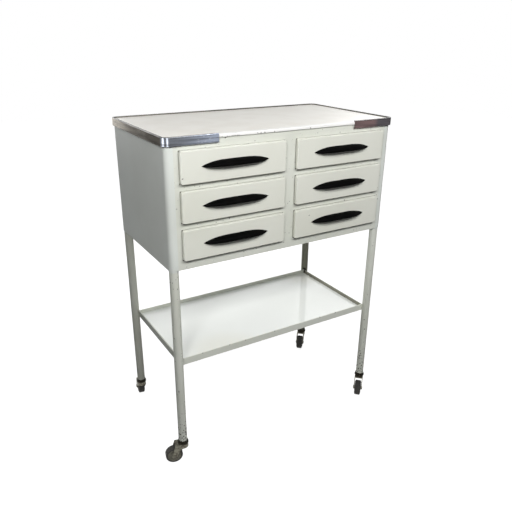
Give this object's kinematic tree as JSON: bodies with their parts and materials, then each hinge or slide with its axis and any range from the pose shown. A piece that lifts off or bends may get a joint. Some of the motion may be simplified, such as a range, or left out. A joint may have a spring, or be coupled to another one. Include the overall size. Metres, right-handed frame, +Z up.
{
  "type": "clinic drawer cabinet",
  "caption": "Free-standing clinic cabinet with sliding drawers in a sheet steel casing on tubular legs, a glass shelf below, a metal-edged work top and swivel casters.",
  "frame": {"origin": "on the floor, midway between the four leg axes", "axes": "+Z up, +Y towards the back, so the drawers open towards -Y; +X to the right seen from the front"},
  "size_m": [0.7481, 0.4461, 0.949],
  "materials": {
    "cabinet_paint": "greyish white stoved enamel, satin gloss, small chips at the edges",
    "white_laminate": "warm off-white, low gloss, faintly mottled",
    "polished_trim": "polished, with fine lengthwise drawing marks",
    "opal_glass": "white opal glass, glossy and opaque",
    "black_bakelite": "black moulding, polished, worn a little at the tips",
    "plated_steel": "bright zinc plated",
    "caster_steel": "dulled plated pressing, brownish where tarnished",
    "wheel_centre": "grey-brown moulded wheel centre",
    "grey_tyre": "solid grey rubber, dusty"
  },
  "bodies": {
    "cabinet": {"side_panel_left": "cabinet_paint", "side_panel_right": "cabinet_paint", "back_panel": "cabinet_paint", "front_frame": "cabinet_paint", "bottom_plate": "cabinet_paint", "centre_partition": "cabinet_paint", "corner_posts": "cabinet_paint", "drawer_runners": "plated_steel", "top_panel": "white_laminate", "edge_trim": "polished_trim", "leg_front_left": "cabinet_paint", "leg_front_right": "cabinet_paint", "leg_back_left": "cabinet_paint", "leg_back_right": "cabinet_paint", "shelf_rail_front": "cabinet_paint", "shelf_rail_back": "cabinet_paint", "shelf_rail_left": "cabinet_paint", "shelf_rail_right": "cabinet_paint", "shelf_glass": "opal_glass", "caster_stems": "caster_steel"},
    "drawer_top_left": {"drawer_tray_top_left": "cabinet_paint", "drawer_front_top_left": "cabinet_paint", "drawer_handle_top_left": "black_bakelite", "handle_screws_top_left": "plated_steel"},
    "drawer_top_right": {"drawer_tray_top_right": "cabinet_paint", "drawer_front_top_right": "cabinet_paint", "drawer_handle_top_right": "black_bakelite", "handle_screws_top_right": "plated_steel"},
    "drawer_middle_left": {"drawer_tray_middle_left": "cabinet_paint", "drawer_front_middle_left": "cabinet_paint", "drawer_handle_middle_left": "black_bakelite", "handle_screws_middle_left": "plated_steel"},
    "drawer_middle_right": {"drawer_tray_middle_right": "cabinet_paint", "drawer_front_middle_right": "cabinet_paint", "drawer_handle_middle_right": "black_bakelite", "handle_screws_middle_right": "plated_steel"},
    "drawer_bottom_left": {"drawer_tray_bottom_left": "cabinet_paint", "drawer_front_bottom_left": "cabinet_paint", "drawer_handle_bottom_left": "black_bakelite", "handle_screws_bottom_left": "plated_steel"},
    "drawer_bottom_right": {"drawer_tray_bottom_right": "cabinet_paint", "drawer_front_bottom_right": "cabinet_paint", "drawer_handle_bottom_right": "black_bakelite", "handle_screws_bottom_right": "plated_steel"},
    "caster_front_left": {"caster_fork_front_left": "caster_steel", "caster_axle_front_left": "plated_steel"},
    "wheel_front_left": {"caster_wheel_front_left": "wheel_centre", "caster_tyre_front_left": "grey_tyre"},
    "caster_front_right": {"caster_fork_front_right": "caster_steel", "caster_axle_front_right": "plated_steel"},
    "wheel_front_right": {"caster_wheel_front_right": "wheel_centre", "caster_tyre_front_right": "grey_tyre"},
    "caster_back_left": {"caster_fork_back_left": "caster_steel", "caster_axle_back_left": "plated_steel"},
    "wheel_back_left": {"caster_wheel_back_left": "wheel_centre", "caster_tyre_back_left": "grey_tyre"},
    "caster_back_right": {"caster_fork_back_right": "caster_steel", "caster_axle_back_right": "plated_steel"},
    "wheel_back_right": {"caster_wheel_back_right": "wheel_centre", "caster_tyre_back_right": "grey_tyre"}
  },
  "joints": [
    {"name": "slide_top_left", "type": "slide", "parent": "cabinet", "child": "drawer_top_left", "axis": [0, -1, 0], "range_m": [0, 0.27]},
    {"name": "slide_top_right", "type": "slide", "parent": "cabinet", "child": "drawer_top_right", "axis": [0, -1, 0], "range_m": [0, 0.27]},
    {"name": "slide_middle_left", "type": "slide", "parent": "cabinet", "child": "drawer_middle_left", "axis": [0, -1, 0], "range_m": [0, 0.27]},
    {"name": "slide_middle_right", "type": "slide", "parent": "cabinet", "child": "drawer_middle_right", "axis": [0, -1, 0], "range_m": [0, 0.27]},
    {"name": "slide_bottom_left", "type": "slide", "parent": "cabinet", "child": "drawer_bottom_left", "axis": [0, -1, 0], "range_m": [0, 0.27]},
    {"name": "slide_bottom_right", "type": "slide", "parent": "cabinet", "child": "drawer_bottom_right", "axis": [0, -1, 0], "range_m": [0, 0.27]},
    {"name": "swivel_front_left", "type": "hinge", "parent": "cabinet", "child": "caster_front_left", "pos_m": [-0.338, -0.175, 0.06], "axis": [0, 0, 1], "continuous": true},
    {"name": "roll_front_left", "type": "hinge", "parent": "caster_front_left", "child": "wheel_front_left", "pos_m": [-0.36505, -0.16775, 0.025], "axis": [0.2588, 0.9659, 0], "continuous": true},
    {"name": "swivel_front_right", "type": "hinge", "parent": "cabinet", "child": "caster_front_right", "pos_m": [0.338, -0.175, 0.06], "axis": [0, 0, 1], "continuous": true},
    {"name": "roll_front_right", "type": "hinge", "parent": "caster_front_right", "child": "wheel_front_right", "pos_m": [0.31786, -0.19445, 0.025], "axis": [-0.6947, 0.7193, 0], "continuous": true},
    {"name": "swivel_back_left", "type": "hinge", "parent": "cabinet", "child": "caster_back_left", "pos_m": [-0.338, 0.175, 0.06], "axis": [0, 0, 1], "continuous": true},
    {"name": "roll_back_left", "type": "hinge", "parent": "caster_back_left", "child": "wheel_back_left", "pos_m": [-0.33314, 0.20258, 0.025], "axis": [0.9848, -0.1736, 0], "continuous": true},
    {"name": "swivel_back_right", "type": "hinge", "parent": "cabinet", "child": "caster_back_right", "pos_m": [0.338, 0.175, 0.06], "axis": [0, 0, 1], "continuous": true},
    {"name": "roll_back_right", "type": "hinge", "parent": "caster_back_right", "child": "wheel_back_right", "pos_m": [0.31786, 0.15555, 0.025], "axis": [-0.6947, 0.7193, 0], "continuous": true}
  ]
}
